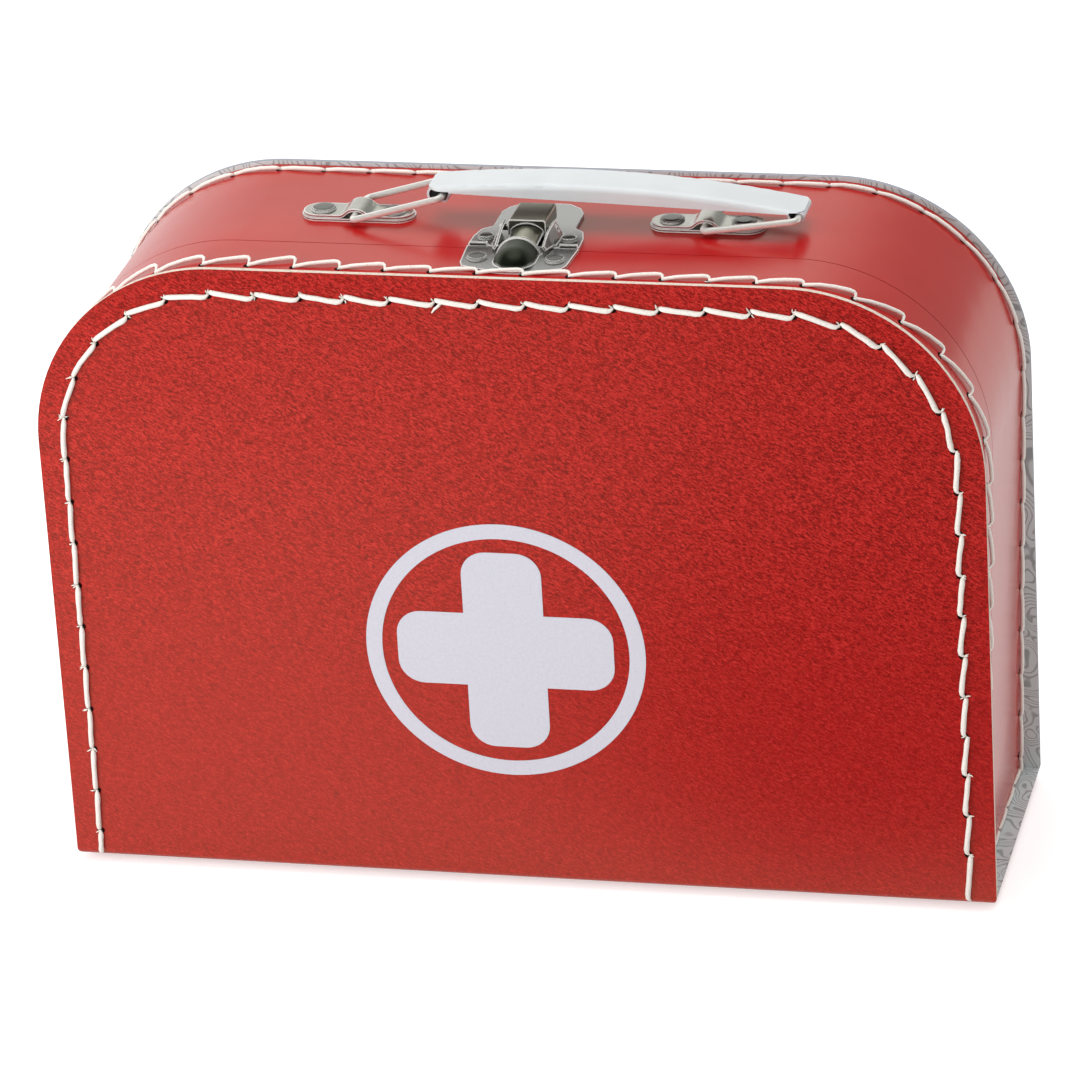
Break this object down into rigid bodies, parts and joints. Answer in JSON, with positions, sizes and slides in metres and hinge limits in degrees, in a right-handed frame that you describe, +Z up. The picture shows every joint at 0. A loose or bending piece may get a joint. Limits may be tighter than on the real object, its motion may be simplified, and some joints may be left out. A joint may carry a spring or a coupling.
{
  "type": "toy suitcase",
  "caption": "Child's stitched board suitcase with rounded top corners, a hinged front lid, a folding wire handle and a snap latch, used as a toy doctor case.",
  "frame": {"origin": "middle of the case's width and depth, at the lowest point of the two hinge knuckles it stands on", "axes": "+X to the right seen from the front, +Y from the lid to the back panel, +Z up to the handle"},
  "size_m": [0.25, 0.0784, 0.1858],
  "materials": {
    "panel_board": "stiff board covered in red leather-grain paper, satin",
    "band_board": "red coated paper, semi-gloss, marbled grey lining inside",
    "nickel": "pressed sheet, bright nickel plate",
    "wire": "round wire, bright nickel plate",
    "grip_lacquer": "cool white gloss lacquer",
    "spring_steel": "thin spring strip"
  },
  "bodies": {
    "base": {"back_panel": "panel_board", "base_band": "band_board", "hinge_base_leaf_left": "nickel", "hinge_base_leaf_right": "nickel", "hinge_pin_left": "nickel", "hinge_pin_right": "nickel", "hinge_base_rivets": "nickel", "bracket_plate_left": "nickel", "bracket_plate_right": "nickel", "bracket_strap_left": "nickel", "bracket_strap_right": "nickel", "bracket_rivets": "nickel", "latch_base_plate": "nickel", "latch_base_rivets": "nickel", "latch_pin": "nickel", "latch_spring": "spring_steel"},
    "lid": {"front_panel": "panel_board", "lid_band": "band_board", "hinge_lid_leaf_left": "nickel", "hinge_lid_leaf_right": "nickel", "hinge_lid_rivets": "nickel", "latch_strike_plate": "nickel", "latch_lid_rivets": "nickel"},
    "lever": {"latch_lever": "nickel"},
    "left_link": {"left_link": "wire"},
    "right_link": {"right_link": "wire"},
    "grip": {"grip": "grip_lacquer"}
  },
  "joints": [
    {"name": "lid_hinge", "type": "hinge", "parent": "base", "child": "lid", "pos_m": [0, -0.0165, 0.0017], "axis": [1, 0, 0], "range_deg": [0, 150]},
    {"name": "latch_press", "type": "hinge", "parent": "base", "child": "lever", "pos_m": [0.0028, -0.009, 0.17605], "axis": [-1, 0, 0], "range_deg": [0, 4], "stiffness_Nm_per_rad": 0.15, "springref_deg": -11.46, "deforming": ["latch_spring"]},
    {"name": "handle_swing", "type": "hinge", "parent": "base", "child": "right_link", "pos_m": [0.0475, 0.003, 0.1748], "axis": [0, -1, 0], "range_deg": [0, 155.9]},
    {"name": "left_link_swing", "type": "hinge", "parent": "base", "child": "left_link", "pos_m": [-0.0455, 0.003, 0.1748], "axis": [0, -1, 0], "range_deg": [0, 155.9]},
    {"name": "grip_turn", "type": "hinge", "parent": "right_link", "child": "grip", "pos_m": [0.07224, 0.003, 0.17841], "axis": [0, -1, 0], "range_deg": [-152, 0]}
  ],
  "couplings": [
    {"joint": "left_link_swing", "follows": "handle_swing", "ratio": 1},
    {"joint": "grip_turn", "follows": "handle_swing", "ratio": -0.97492}
  ]
}
